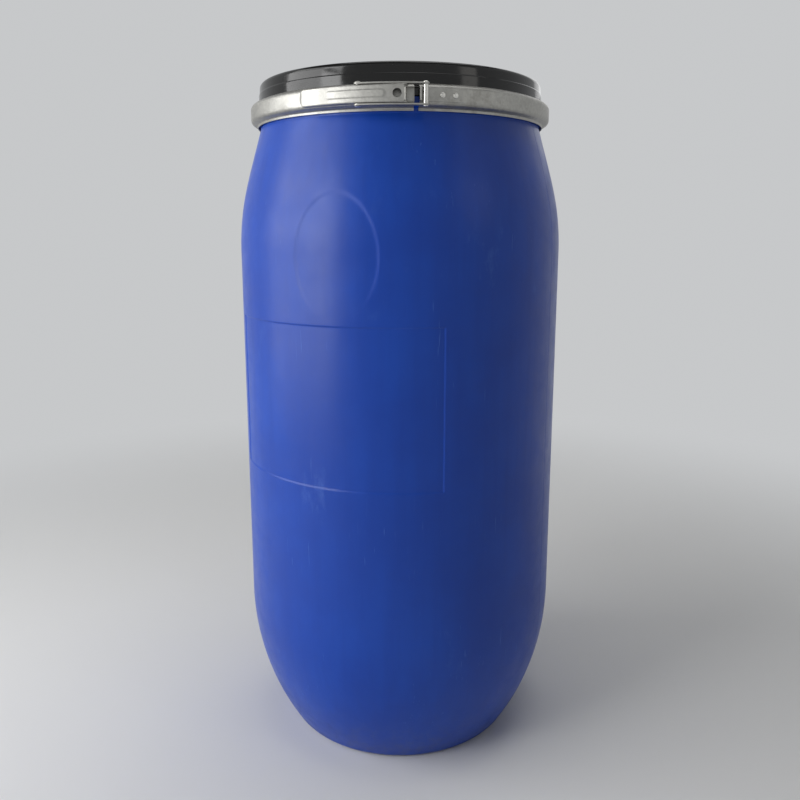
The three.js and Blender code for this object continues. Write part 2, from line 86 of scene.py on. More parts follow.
BEAD_EDGE = RIM_TOP - BEAD_HEIGHT + BEAD_REACH * CLAMP_CONE

DEGREE = math.radians(BODY_RADIUS)  # length of one degree on the straight wall
PRESS_EDGE = 0.0022  # width of the step round a pressed field
PRESS_REACH = PRESS_EDGE * 1.5  # close rows and columns lie this far to both sides of the step
PRESS_LINES = 9  # rows or columns across a step
WALL_ROW = 0.012  # distance between rows on the plain wall
OVAL_ROW = 0.0023
WALL_COLUMN = 1.5  # degrees between columns on the plain wall
OVAL_COLUMN = 0.55
PARTING_REACH = 0.5  # degrees to both sides of a parting line
LABEL_ANGLES = (-71, 14)
LABEL_DROP = 0.285  # from the rim down to the label field's top
LABEL_HEIGHT = 0.220
LABEL_TOP = RIM_TOP - LABEL_DROP
LABEL_BOTTOM = LABEL_TOP - LABEL_HEIGHT
LABEL_DEPTH = 0.0011
OVAL_ANGLE = -20.5
OVAL_DROP = 0.196  # from the rim down to the oval's middle
OVAL_MIDDLE = RIM_TOP - OVAL_DROP
OVAL_HALF_WIDTH = 0.059
OVAL_HALF_HEIGHT = 0.081
OVAL_DEPTH = 0.001
OVAL_EDGE = 0.0052  # width of the soft step round it
OVAL_FADE = 0.75  # part of the half height over which its lower edge runs out into the wall
PARTING_ANGLES = (63, -117)
PARTING_RISE = 0.00022
PARTING_WIDTH = 0.0009
SEAM_HALF_LENGTH = 0.118  # of the pinch-off seam across the base
SEAM_WIDTH = 0.0018
SEAM_RISE = 0.0012
SEAM_FADE = 0.1  # part of the half length over which the seam's ends run out

LID_TOP = LID_HIGH.z
LID_WALL = 0.0035
LID_RING_REACH = 0.0015  # how far the raised ring's foot stands out past the neck
LID_RING_RADIUS = NECK_RADIUS + LID_RING_REACH
LID_RING_DRAFT = 0.002
LID_CREST_RADIUS = LID_RING_RADIUS - LID_RING_DRAFT
LID_STEP_DROP = 0.015  # from the lid's top down to the small step round the raised ring's wall
LID_STEP = LID_TOP - LID_STEP_DROP
LID_BEAD_WIDTH = 0.009
FLANGE_HEIGHT = 0.0113  # from the rim to the flange's outer top edge
FLANGE_EDGE = RIM_TOP + FLANGE_HEIGHT
DECK_HEIGHT = 0.014  # deck above the rim
DECK = RIM_TOP + DECK_HEIGHT
DECK_STEP = 0.003  # the deck's middle lies lower
DECK_BORDER = 0.052  # width of the deck's higher outer part, from the mouth's wall
DECK_STEP_RADIUS = MOUTH_RADIUS - DECK_BORDER
PLUG_DEPTH = 0.016  # how far the plug goes down into the neck
PLUG_BOTTOM = RIM_TOP - PLUG_DEPTH
PLUG_CLEARANCE = 0.001
PLUG_RADIUS = MOUTH_RADIUS - PLUG_CLEARANCE
GASKET_WIDTH = 0.0085
GROOVE_INSET = 0.0022  # from the mouth's wall to the gasket's groove
GROOVE_WIDTH = 0.0091
LIP_CLEARANCE = 0.0005  # between the rim and the flange beside the gasket
GROOVE_CLEARANCE = 0.0033  # between the rim and the groove's roof
RIB_COUNT = 8
RIB_START = 0.040
RIB_HEIGHT = 0.008
RIB_HALF_FOOT = 0.0019
RIB_HALF_HEAD = 0.0012

BAND_OUTER = BAND_HIGH.x
BAND_SHEET = 0.0012
BAND_REACH = 0.007  # how far the flanges grip inwards over the bead
BAND_TIP = BEAD_RADIUS - BAND_REACH
BAND_LIP = 0.0026  # the lower flange's edge is turned down by this much
BAND_BEND = 0.0046
CLAMP_GAP = 0.0006
SPLIT_ANGLES = (4.6, 6.3)

HINGE = Vector(JOINTS["lever_swing"]["pos_m"])
LINK = Vector(JOINTS["link_pivot"]["pos_m"])
MIDDLE = HINGE.z  # height of the band's and the closure's middle
HINGE_RADIUS = math.hypot(HINGE.x, HINGE.y)
HINGE_ANGLE = math.degrees(math.atan2(HINGE.x, -HINGE.y))
LINK_RADIUS = math.hypot(LINK.x, LINK.y)
LINK_PIN_ANGLE = math.degrees(math.atan2(LINK.x, -LINK.y))
CATCH_ANGLE = 8.0
HINGE_PIN_RADIUS = 0.003
LINK_PIN_RADIUS = 0.0025
LINK_PIN_HEAD_RADIUS = 0.004
LINK_PIN_HEAD_HEIGHT = 0.0015
CATCH_BAR_RADIUS = 0.0035
PIN_CLEARANCE = 0.00025
LINK_HALF_WIDTH = 0.0048
LEVER_HALF = (LEVER_HIGH.z - LEVER_LOW.z) / 2
LEVER_SHEET = 0.0015
LEVER_LIFT = 0.0016  # from the band to the lever's inner edge
LEVER_INNER = BAND_OUTER + LEVER_LIFT
LEVER_DEPTH_END = 0.0046  # depth of the channel at its free end
LEVER_END_ANGLE = -34.7
LEVER_END_ROUND = 0.009
LEVER_CROWN = 0.0016  # how far the free end curves in
LEVER_CROWN_LENGTH = 0.006
LEVER_CLOSED_END = 0.003  # length over which the channel's hollow opens at the free end
LEVER_BEND = 0.0026
LEVER_HOLE_ANGLE = -0.87
LEVER_HOLE_RADIUS = 0.0055
LEVER_RIB_ANGLES = (-23.8, -4.6)
LEVER_RIB_HALF = 0.0045
LEVER_RIB_RISE = 0.0008
LEVER_RIB_EDGE = 0.0013
EAR_RADIUS = 0.0042
EAR_CLEARANCE = 0.0008
PIECE_GAP = 0.0003  # between pieces that lie on each other
PLATE_GAP = 0.0004  # between pieces that turn past each other
SKIN_GAP = 0.00002  # keeps the faces of joined shells apart
SEAT_RADIUS = BAND_OUTER + PIECE_GAP
BASE_SHEET = 0.0012
BASE_OUTER = SEAT_RADIUS + BASE_SHEET
BRACKET_ANGLES = (-11, 2.8)
BRACKET_SHEET = 0.0018
BRACKET_RIVET_ANGLES = (-8.6, -4.6)
HOOK_END_ANGLE = 21
HOOK_HALF_HEIGHT = 0.008
HOOK_LUG = 0.0024
HOOK_CLEARANCE = 0.0012  # between the lug and the catch bar
HOOK_RIVET_ANGLES = (13.8, 18.2)
RIVET_HEAD = 0.0034
RIVET_DOME = 0.0012  # height of the dome above its rim
RIVET_TAIL = 0.0008
RIVET_SHANK = 0.0020
PIN_CHAMFER = 0.0006
HEAD_RIM = 0.0004  # height of the straight rim under a domed head
SHARP_ANGLE = 35  # an edge with a wider angle between its faces' normals stays sharp


# ---- Geometry helpers ----

def polar(radius, angle, height=0.0):
    """A point at a radius, an angle in degrees from the front and a height."""
    turn = math.radians(angle)
    return Vector((radius * math.sin(turn), -radius * math.cos(turn), height))


def smooth(x):
    """0 below 0, 1 above 1, and a soft step between."""
    x = np.clip(x, 0.0, 1.0)
    return x * x * (3.0 - 2.0 * x)


def rounded(corners, closed=False, steps=5):
    """Points of an outline of corners (a, b, cut), rounded off from cut before each to cut after it."""
    points = []
    count = len(corners)
    for i, (a, b, cut) in enumerate(corners):
        here = np.array((a, b))
        ends = not closed and i in (0, count - 1)
        if cut == 0 or ends:
            points.append(here)
            continue
        before = np.array(corners[i - 1][:2]) - here
        after = np.array(corners[(i + 1) % count][:2]) - here
        start = here + before / np.linalg.norm(before) * cut
        end = here + after / np.linalg.norm(after) * cut
        for t in np.linspace(0, 1, steps + 1):
            points.append((1 - t) ** 2 * start + 2 * t * (1 - t) * here + t * t * end)
    return np.array(points)


def new_object(name, vertices, faces):
    """A mesh object with smooth faces and sharp edges, its normals facing out."""
    mesh = bpy.data.meshes.new(name)
    mesh.from_pydata([tuple(map(float, v)) for v in vertices], [], faces)
    shell = bmesh.new()
    shell.from_mesh(mesh)
    bmesh.ops.remove_doubles(shell, verts=shell.verts, dist=1e-7)
    bmesh.ops.recalc_face_normals(shell, faces=shell.faces)
    shell.to_mesh(mesh)
    shell.free()
    mesh.shade_smooth()
    mesh.set_sharp_from_angle(angle=math.radians(SHARP_ANGLE))
    piece = bpy.data.objects.new(name, mesh)
    bpy.context.scene.collection.objects.link(piece)
    return piece


def grid_faces(columns, rows, wrap_columns, wrap_rows):
    """Quads of a grid of points stored column by column."""
    faces = []
    for c in range(columns if wrap_columns else columns - 1):
        d = (c + 1) % columns
        for r in range(rows if wrap_rows else rows - 1):
            s = (r + 1) % rows
            faces.append((c * rows + r, d * rows + r, d * rows + s, c * rows + s))
    return faces


def swept(sections):
    """Vertices and faces of a bar through closed sections of equally many points, with closed ends."""
    rows = len(sections[0])
    last = (len(sections) - 1) * rows
    faces = grid_faces(len(sections), rows, False, True)
    faces.append(tuple(range(rows)))
    faces.append(tuple(last + r for r in reversed(range(rows))))
    return [point for section in sections for point in section], faces


def spin(name, profile, angles=None, closed=False, moved=None, segments=288):
    """Turns a profile of radius and height round the axis.

    angles are the columns' places in degrees; without them they are evenly spaced. closed says
    that the profile is a loop; otherwise it starts and ends on the axis. moved changes the grid's
    radii and heights.
    """
    if angles is None:
        angles = np.arange(segments) * 360.0 / segments
    turn = np.radians(np.asarray(angles))[:, None]
    radius = np.tile(profile[:, 0], (len(angles), 1))
    height = np.tile(profile[:, 1], (len(angles), 1))
    if moved is not None:
        radius, height = moved(np.degrees(turn), radius, height)
    grid = np.stack([radius * np.sin(turn), -radius * np.cos(turn), height], axis=2)
    vertices = grid.reshape(-1, 3)
    columns, rows = grid.shape[:2]
    return new_object(name, vertices, grid_faces(columns, rows, True, closed))


def mesh_lists(mesh):
    """Vertices and faces of a mesh."""
    return [v.co.copy() for v in mesh.vertices], [tuple(p.vertices) for p in mesh.polygons]


def dissolved(piece):
    """Vertices and faces of an object, which is taken away."""
    lists = mesh_lists(piece.data)
    bpy.data.objects.remove(piece)
    return lists


def turned(profile, centre, axis, segments=40):
    """Vertices and faces of a profile (radius, distance along the axis) turned on any axis."""
    along = Vector(axis).normalized()
    side = along.orthogonal().normalized()
    other = along.cross(side)
    vertices = []
    for i in range(segments):
        turn = math.tau * i / segments
        out = side * math.cos(turn) + other * math.sin(turn)
        vertices += [centre + out * radius + along * distance for radius, distance in profile]
    return vertices, grid_faces(segments, len(profile), True, False)


def plate(name, outlines, bottom, top, edge=0.0003):
    """A flat plate from plan outlines: the first is its edge, the others are holes."""
    curve = bpy.data.curves.new(name, "CURVE")
    curve.dimensions = "2D"
    curve.fill_mode = "BOTH"
    curve.extrude = (top - bottom) / 2 - edge
    curve.bevel_depth = edge
    curve.bevel_resolution = 2
    curve.offset = -edge
    for outline in outlines:
        spline = curve.splines.new("POLY")
        spline.points.add(len(outline) - 1)
        for target, place in zip(spline.points, outline):
            target.co = (place[0], place[1], 0, 1)
        spline.use_cyclic_u = True
    holder = bpy.data.objects.new(name, curve)
    bpy.context.scene.collection.objects.link(holder)
    bpy.context.view_layer.update()
    mesh = bpy.data.meshes.new_from_object(holder)
    mesh.transform(Matrix.Translation((0, 0, (bottom + top) / 2)))
    bpy.data.objects.remove(holder)
    lists = mesh_lists(mesh)
    bpy.data.meshes.remove(mesh)
    return lists


def merged(name, parts):
    """One object from several (vertices, faces) shells."""
    vertices = []
    faces = []
    for part_vertices, part_faces in parts:
        first = len(vertices)
        vertices += [Vector(v) for v in part_vertices]
        faces += [tuple(first + i for i in face) for face in part_faces]
    return new_object(name, vertices, faces)


def cut(piece, cutter):
    """Takes the cutter's volume out of the piece."""
    modifier = piece.modifiers.new("cut", "BOOLEAN")
    modifier.operation = "DIFFERENCE"
    modifier.solver = "EXACT"
    modifier.object = cutter
    bpy.context.view_layer.update()
    graph = bpy.context.evaluated_depsgraph_get()
    result = bpy.data.meshes.new_from_object(piece.evaluated_get(graph))
    piece.modifiers.clear()
    piece.data = result
    bpy.data.objects.remove(cutter)
    result.shade_smooth()
    result.set_sharp_from_angle(angle=math.radians(SHARP_ANGLE))


def arc(radius, start, end, step=1.0):
    """Plan points along a circle round the drum's axis."""
    count = max(2, math.ceil(abs(end - start) / step))
    return [polar(radius, start + (end - start) * i / count).xy for i in range(count + 1)]


def ring(centre, radius, segments=32, start=0.0, sweep=360.0):
    """Plan points round a centre, from a direction in degrees."""
    closed = sweep == 360.0
    count = segments if closed else segments + 1
    turns = [math.radians(start + sweep * i / segments) for i in range(count)]
    return [centre.xy + radius * Vector((math.cos(t), math.sin(t))) for t in turns]


def quarter(points):
    """Turns from 0 to a right angle, for rounded ends and bends."""
    return np.linspace(0, math.pi / 2, points)


# ---- Materials ----

class Shader:
    """A procedural material round one Principled shader."""

    def __init__(self, name, **fixed):
        self.material = bpy.data.materials.new(name)
        self.material.use_nodes = True
        self.tree = self.material.node_tree
        self.principled = self.tree.nodes["Principled BSDF"]
        for socket, value in fixed.items():
            self.principled.inputs[socket.replace("_", " ")].default_value = value
        self.place = self.node("ShaderNodeTexCoord").outputs["Object"]

    def node(self, kind, inputs=None, **settings):
        """A new node: inputs are sockets to link or values to set."""
        made = self.tree.nodes.new(kind)
        for key, value in settings.items():
            setattr(made, key, value)
        for key, value in (inputs or {}).items():
            if isinstance(value, bpy.types.NodeSocket):
                self.tree.links.new(value, made.inputs[key])
            else:
                made.inputs[key].default_value = value
        return made

    def stretched(self, stretch):
        """Object coordinates scaled by axis: below 1, a pattern grows longer that way."""
        return self.node("ShaderNodeMapping", {"Vector": self.place, "Scale": stretch}).outputs[0]

    def noise(self, scale, detail=3.0, stretch=(1, 1, 1), roughness=0.55):
        """Cloudy values; scale is in features for each metre."""
        inputs = {"Vector": self.stretched(stretch), "Scale": scale, "Detail": detail,
                  "Roughness": roughness}
        return self.node("ShaderNodeTexNoise", inputs).outputs["Fac"]

    def height(self):
        """Height above the floor."""
        return self.node("ShaderNodeSeparateXYZ", {0: self.place}).outputs["Z"]

    def cells(self, scale):
        """A tone of its own for each cell of a crystal pattern."""
        return self.node("ShaderNodeTexVoronoi", {"Vector": self.place, "Scale": scale}).outputs["Color"]

    def span(self, value, low, high, to_low=0.0, to_high=1.0):
        """value from low..high to to_low..to_high, softly."""
        inputs = {"Value": value, "From Min": low, "From Max": high, "To Min": to_low, "To Max": to_high}
        return self.node("ShaderNodeMapRange", inputs, interpolation_type="SMOOTHSTEP").outputs[0]

    def math(self, operation, a, b):
        return self.node("ShaderNodeMath", {0: a, 1: b}, operation=operation).outputs[0]

    def mix(self, amount, a, b):
        """Colour a where the amount is 0 and colour b where it is 1."""
        return self.node("ShaderNodeMix", {0: amount, 6: a, 7: b}, data_type="RGBA").outputs[2]

    def bump(self, height, distance, strength=1.0, under=None):
        """A normal that shows the height, on top of the normal under it."""
        inputs = {"Height": height, "Distance": distance, "Strength": strength}
        if under is not None:
            inputs["Normal"] = under
        return self.node("ShaderNodeBump", inputs).outputs[0]

    def finish(self, colour, roughness, normal):
        """Links the three to the shader and gives the material."""
        for socket, value in (("Base Color", colour), ("Roughness", roughness), ("Normal", normal)):
            self.tree.links.new(value, self.principled.inputs[socket])
        return self.material


def blue_plastic():
    """Blow-moulded polyethylene: satin, with flow marks, a fine grain, scuffs and rub marks."""
    deep, light, streak = (0.0040, 0.047, 0.350, 1), (0.0055, 0.060, 0.410, 1), (0.0035, 0.040, 0.310, 1)
    worn, dusty = (0.10, 0.22, 0.62, 1), (0.16, 0.17, 0.20, 1)
    s = Shader("blue_polyethylene", IOR=1.5, Specular_IOR_Level=0.34)
    clouds = s.noise(7.0, 4.0)
    flow = s.noise(60.0, 3.0, stretch=(1, 1, 0.06))
    colour = s.mix(s.span(clouds, 0.3, 0.7), deep, light)
    colour = s.mix(s.span(flow, 0.35, 0.75, 0.0, 0.35), colour, streak)
    rubs = s.span(s.noise(22.0, 6.0, stretch=(1, 1, 0.45), roughness=0.7), 0.56, 0.72)
    patches = s.span(s.noise(4.5, 2.0), 0.50, 0.64)
    scuffs = s.math("MULTIPLY", rubs, patches)
    lines = s.span(s.noise(330.0, 2.0, stretch=(1, 1, 0.05)), 0.66, 0.74)
    scratches = s.math("MULTIPLY", lines, s.span(s.noise(11.0, 3.0), 0.52, 0.66))
    wear = s.math("MAXIMUM", s.math("MULTIPLY", scuffs, 0.20), s.math("MULTIPLY", scratches, 0.38))
    colour = s.mix(wear, colour, worn)
    specks = s.span(s.noise(60.0, 6.0, roughness=0.7), 0.42, 0.7)
    dust = s.math("MULTIPLY", s.span(s.height(), 0.10, 0.0), specks)
    colour = s.mix(s.math("MULTIPLY", dust, 0.35), colour, dusty)
    wear = s.math("MAXIMUM", wear, s.math("MULTIPLY", dust, 0.4))
    roughness = s.span(s.noise(38.0, 5.0), 0.25, 0.8, 0.30, 0.40)
    roughness = s.math("ADD", roughness, s.math("MULTIPLY", wear, 0.5))
    normal = s.bump(clouds, 0.0016, 0.5)
    normal = s.bump(flow, 0.00018, 0.6, normal)
    normal = s.bump(s.noise(1500.0, 2.0), 0.00006, 0.7, normal)
    normal = s.bump(scratches, 0.00008, 0.6, normal)
    return s.finish(colour, roughness, normal)


def black_plastic():
    """Gloss moulded plastic with a faint haze, swirl scratches and a little dust."""
    s = Shader("gloss_black_plastic", IOR=1.5, Specular_IOR_Level=0.40)
    haze = s.noise(30.0, 5.0)
    dust = s.span(s.noise(900.0, 2.0), 0.70, 0.80)
    dust = s.math("MULTIPLY", dust, s.span(s.noise(14.0, 3.0), 0.45, 0.75))
    colour = s.mix(haze, (0.0035, 0.0034, 0.0032, 1), (0.0065, 0.0062, 0.006, 1))
    colour = s.mix(s.math("MULTIPLY", dust, 0.25), colour, (0.16, 0.15, 0.13, 1))
    marks = s.span(s.noise(260.0, 2.0, stretch=(1, 1, 6.0)), 0.66, 0.74)
    roughness = s.span(haze, 0.25, 0.75, 0.07, 0.16)
    roughness = s.math("ADD", roughness, s.math("MULTIPLY", marks, 0.14))
    normal = s.bump(s.noise(16.0, 2.0), 0.0006, 0.35)
    normal = s.bump(marks, 0.00003, 0.5, normal)
    return s.finish(colour, roughness, normal)


def galvanised(name, stretch, bright=1.0):
    """Galvanised sheet: pale spangles, drawing lines along the sheet and dull wear."""
    dull = (0.325 * bright, 0.32 * bright, 0.30 * bright, 1)
    pale = (0.405 * bright, 0.40 * bright, 0.375 * bright, 1)
    stained = (0.24, 0.23, 0.205, 1)
    s = Shader(name, Metallic=1.0)
    grain = s.noise(40.0, 4.0)
    colour = s.mix(s.cells(330.0), dull, pale)
    stain = s.span(s.noise(18.0, 5.0, roughness=0.65), 0.52, 0.78, 0.0, 0.55)
    colour = s.mix(stain, colour, stained)
    lines = s.noise(700.0, 3.0, stretch=stretch)
    roughness = s.span(grain, 0.25, 0.75, 0.42, 0.56)
    roughness = s.math("ADD", roughness, s.math("MULTIPLY", stain, 0.2))
    roughness = s.math("ADD", roughness, s.span(lines, 0.4, 0.7, -0.03, 0.05))
    normal = s.bump(grain, 0.0004, 0.35)
    normal = s.bump(lines, 0.00005, 0.6, normal)
    return s.finish(colour, roughness, normal)


def zinc():
    """Zinc-plated pins and rivets with tool marks and dull patches."""
    s = Shader("zinc_plated_steel", Metallic=1.0)
    patches = s.noise(160.0, 4.0)
    colour = s.mix(patches, (0.52, 0.51, 0.47, 1), (0.74, 0.73, 0.69, 1))
    roughness = s.span(patches, 0.3, 0.75, 0.24, 0.42)
    normal = s.bump(s.noise(1400.0, 3.0), 0.00006, 0.6)
    return s.finish(colour, roughness, normal)


def rubber():
    """Soft black rubber with a bloom of talc."""
    s = Shader("gasket_rubber", Specular_IOR_Level=0.3)
    bloom = s.span(s.noise(120.0, 5.0), 0.4, 0.8)
    colour = s.mix(bloom, (0.012, 0.012, 0.012, 1), (0.045, 0.045, 0.043, 1))
    roughness = s.span(bloom, 0.0, 1.0, 0.62, 0.85)
    return s.finish(colour, roughness, s.bump(s.noise(2200.0, 2.0), 0.00008, 0.7))


# ---- Drum body ----

def body_side():
    """Dense outer outline of heel, wall and shoulder, as heights and radii."""
    turns = np.linspace(math.asin((HEEL_HEIGHT - FOOT_ROUND) / HEEL_ARC), 0, 60)
    heel_heights = HEEL_HEIGHT - HEEL_ARC * np.sin(turns)
    heel_radii = BODY_RADIUS - HEEL_ARC * (1 - np.cos(turns))
    t = np.linspace(0, 1, 120)
    weights = ((1 - t) ** 3, 3 * t * (1 - t) ** 2, 3 * t * t * (1 - t), t ** 3)
    pull = NECK_RADIUS + SHOULDER_SLOPE * SHOULDER_PULL
    radii = (BODY_RADIUS, BODY_RADIUS, pull, NECK_RADIUS)
    heights = (SHOULDER_FOOT, SHOULDER_FOOT + SHOULDER_PULL, NECK_FOOT - SHOULDER_PULL, NECK_FOOT)
    shoulder_heights = sum(w * h for w, h in zip(weights, heights))
    shoulder_radii = sum(w * r for w, r in zip(weights, radii))
    return np.append(heel_heights, shoulder_heights), np.append(heel_radii, shoulder_radii)


def thinned(values, gap):
    """The values in order, without any that follows the one before it within the gap."""
    values = np.unique(values)
    return values[np.append(True, np.diff(values) > gap)]


def body_rows():
    """Heights of the grid's rows: close together where the wall has pressed edges."""
    oval = OVAL_HALF_HEIGHT + PRESS_REACH
    rows = np.concatenate([
        np.linspace(FOOT_ROUND, HEEL_HEIGHT, 34),
        np.arange(HEEL_HEIGHT, OVAL_MIDDLE - oval, WALL_ROW),
        np.linspace(LABEL_BOTTOM - PRESS_REACH, LABEL_BOTTOM + PRESS_REACH, PRESS_LINES),
        np.linspace(LABEL_TOP - PRESS_REACH, LABEL_TOP + PRESS_REACH, PRESS_LINES),
        np.arange(OVAL_MIDDLE - oval, OVAL_MIDDLE + oval, OVAL_ROW),
        np.linspace(OVAL_MIDDLE + oval, NECK_FOOT - 0.001, 16),
    ])
    return thinned(np.round(rows, 6), 0.0003)


def body_angles():
    """Angles of the grid's columns, closer at the label's edges, the oval and the parting lines."""
    edge = PRESS_REACH / DEGREE
    oval = (OVAL_HALF_WIDTH + PRESS_EDGE * 2) / DEGREE
    columns = [np.arange(-180, 180, WALL_COLUMN),
               np.arange(OVAL_ANGLE - oval, OVAL_ANGLE + oval, OVAL_COLUMN)]
    columns += [np.linspace(a - edge, a + edge, PRESS_LINES) for a in LABEL_ANGLES]
    columns += [np.linspace(a - PARTING_REACH, a + PARTING_REACH, PRESS_LINES) for a in PARTING_ANGLES]
    return thinned(np.round(np.concatenate(columns), 5), 0.05)


def label_share(angle, height):
    """1 in the label field and 0 outside it, with a soft step between."""
    left, right = LABEL_ANGLES
    depths = ((angle - left) * DEGREE, (right - angle) * DEGREE, height - LABEL_BOTTOM, LABEL_TOP - height)
    share = 1.0
    for depth in depths:
        share = share * smooth(depth / PRESS_EDGE + 0.5)
    return share


def oval_share(angle, height):
    """1 in the oval and 0 outside it, with a soft step that runs out towards the bottom."""
    across = (angle - OVAL_ANGLE) * DEGREE / OVAL_HALF_WIDTH
    up = (height - OVAL_MIDDLE) / OVAL_HALF_HEIGHT
    outside = (np.hypot(across, up) - 1) * OVAL_HALF_WIDTH
    return smooth(0.5 - outside / OVAL_EDGE) * smooth((up + 1) / OVAL_FADE)


def parting_share(angle):
    """1 on the parting lines and 0 away from them."""
    away = np.minimum(*(np.abs(angle - a) for a in PARTING_ANGLES)) * DEGREE
    return 1 - smooth(away / PARTING_WIDTH)


def seam_share(angle, radius):
    """1 on the pinch-off seam, 0 away from it and past its ends."""
    away = np.abs(radius * np.sin(np.radians(angle - PARTING_ANGLES[0])))
    past = radius / SEAM_HALF_LENGTH - (1 - SEAM_FADE)
    return (1 - smooth(away / SEAM_WIDTH)) * (1 - smooth(past / SEAM_FADE))


def body_moved(outer_rows, base_rows):
    """Presses the label field and the oval in, and raises the parting lines and the pinch-off seam."""
    def moved(angle, radius, height):
        z = height[:, outer_rows]
        pressed = LABEL_DEPTH * label_share(angle, z) + OVAL_DEPTH * oval_share(angle, z)
        radius[:, outer_rows] += PARTING_RISE * parting_share(angle) - pressed
        height[:, base_rows] -= SEAM_RISE * seam_share(angle, radius[:, base_rows])
        return radius, height
    return moved


def neck_outline(start):
    """From the shoulder's top over the neck and the rim bead into the mouth."""
    return rounded([
        (*start, 0), (NECK_RADIUS, NECK_FOOT, 0.0008),
        (NECK_RADIUS, RIM_TOP - BEAD_HEIGHT, 0.0015), (BEAD_RADIUS, BEAD_EDGE, 0.0016),
        (BEAD_RADIUS, RIM_TOP, 0.0022), (MOUTH_RADIUS, RIM_TOP, 0.0022), (MOUTH_RADIUS, NECK_FOOT, 0),
    ])


def drum_body():
    """The outside from the base's middle up to the rim, then the inside back down, turned as one shell."""
    heights, radii = body_side()
    rows = body_rows()
    side = np.column_stack([np.interp(rows, heights, radii), rows])
    foot = side[0, 0] - FOOT_ROUND / 2
    foot_inner = foot - FOOT_ROUND - FOOT_WIDTH
    middle = foot_inner - BASE_SLOPE
    base = [(r, BASE_RECESS) for r in np.linspace(0, middle - BASE_ROUND, 22)]
    slope = rounded([
        (*base[-1], 0), (middle, BASE_RECESS, 0.005), (foot_inner, 0, 0.004), (foot, 0, FOOT_ROUND),
        (*side[0], 0),
    ], steps=7)
    neck = neck_outline(side[-1])
    inner_rows = np.concatenate([np.linspace(NECK_FOOT - 0.004, SHOULDER_FOOT, 24),
                                 np.linspace(HEEL_HEIGHT, FOOT_ROUND + WALL, 20)])
    inner = np.column_stack([np.interp(inner_rows, heights, radii) - WALL, inner_rows])
    floor = rounded([
        (*inner[-1], 0), (foot - FOOT_ROUND, WALL, 0.007), (foot_inner + WALL, WALL, 0.005),
        (middle, BASE_RECESS + WALL, BASE_ROUND), (0, BASE_RECESS + WALL, 0),
    ])
    profile = np.concatenate([base, slope[1:], side[1:], neck[1:], inner, floor[1:]])
    first = len(base) + len(slope) - 2
    moved = body_moved(slice(first, first + len(side)), slice(1, len(base)))
    return spin("drum_shell", profile, body_angles(), moved=moved)


# ---- Lid and gasket ----

def lid_profile():
    """Underside from the axis outwards, then the flange, the raised ring and the top back in."""
    under = RIM_TOP + LIP_CLEARANCE
    roof = RIM_TOP + GROOVE_CLEARANCE
    groove_inner = MOUTH_RADIUS + GROOVE_INSET
    groove_outer = groove_inner + GROOVE_WIDTH
    flange_top = FLANGE_EDGE + (BEAD_RADIUS - LID_RING_RADIUS) * CLAMP_CONE
    bead_inner = LID_CREST_RADIUS - LID_BEAD_WIDTH
    step_outer = DECK_STEP_RADIUS + DECK_STEP
    middle = DECK - DECK_STEP
    return rounded([
        (0, middle - LID_WALL, 0),
        (DECK_STEP_RADIUS, middle - LID_WALL, 0.002),
        (step_outer, DECK - LID_WALL, 0.002),
        (PLUG_RADIUS - LID_WALL, DECK - LID_WALL, 0.002),
        (PLUG_RADIUS - LID_WALL, PLUG_BOTTOM, 0.001),
        (PLUG_RADIUS, PLUG_BOTTOM, 0.002),
        (PLUG_RADIUS, under, 0.0008),
        (groove_inner, under, 0.0003),
        (groove_inner, roof, 0.0005),
        (groove_outer, roof, 0.0005),
        (groove_outer, under, 0.0003),
        (BEAD_RADIUS, under, 0.0012),
        (BEAD_RADIUS, FLANGE_EDGE, 0.0014),
        (LID_RING_RADIUS, flange_top, 0.0016),
        (LID_RING_RADIUS - 0.0002, LID_STEP - 0.0006, 0.0005),
        (LID_RING_RADIUS - 0.0009, LID_STEP + 0.0003, 0.0004),
        (LID_CREST_RADIUS, LID_TOP, 0.0062),
        (bead_inner, LID_TOP, 0.0014),
        (bead_inner, LID_TOP - 0.007, 0.002),
        (LID_CREST_RADIUS - LID_WALL, LID_TOP - 0.0105, 0.002),
        (LID_RING_RADIUS - LID_WALL, DECK, 0.004),
        (step_outer, DECK, 0.0025),
        (DECK_STEP_RADIUS, middle, 0.0025),
        (0, middle, 0),
    ], steps=8)


def deck_rib(angle):
    """A tapered rib that stands on the deck, from near the middle to the raised ring."""
    end = LID_RING_RADIUS - LID_WALL - 0.0005
    foot = DECK - DECK_STEP - 0.0006
    head = DECK + RIB_HEIGHT
    section = rounded([
        (-RIB_HALF_FOOT, foot, 0), (-RIB_HALF_HEAD, head, 0.0011),
        (RIB_HALF_HEAD, head, 0.0011), (RIB_HALF_FOOT, foot, 0),
    ], steps=4)
    out = polar(1.0, angle)
    across = polar(1.0, angle + 90)
    rises = ((RIB_START, 0.18), (RIB_START + 0.004, 0.5), (RIB_START + 0.010, 0.85),
             (RIB_START + 0.018, 1.0), (end, 1.0))
    return swept([[out * distance + across * a + Vector((0, 0, foot + (b - foot) * rise)) for a, b in section]
                  for distance, rise in rises])


def lid():
    parts = [dissolved(spin("lid_disc", lid_profile()))]
    parts += [deck_rib((i + 0.5) * 360 / RIB_COUNT) for i in range(RIB_COUNT)]
    return merged("lid_shell", parts)


def gasket():
    low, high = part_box("lid_gasket")
    outer = high.x
    inner = outer - GASKET_WIDTH
    profile = rounded([
        (inner, low.z, 0.0012), (outer, low.z, 0.0012), (outer, high.z, 0.001), (inner, high.z, 0.001),
    ], closed=True, steps=4)
    return spin("gasket_ring", profile, closed=True)


# ---- Clamp band ----

def flange_low(radius):
    """Height of the lower flange's inner face."""
    return BEAD_EDGE - CLAMP_GAP + (radius - BEAD_RADIUS) * CLAMP_CONE


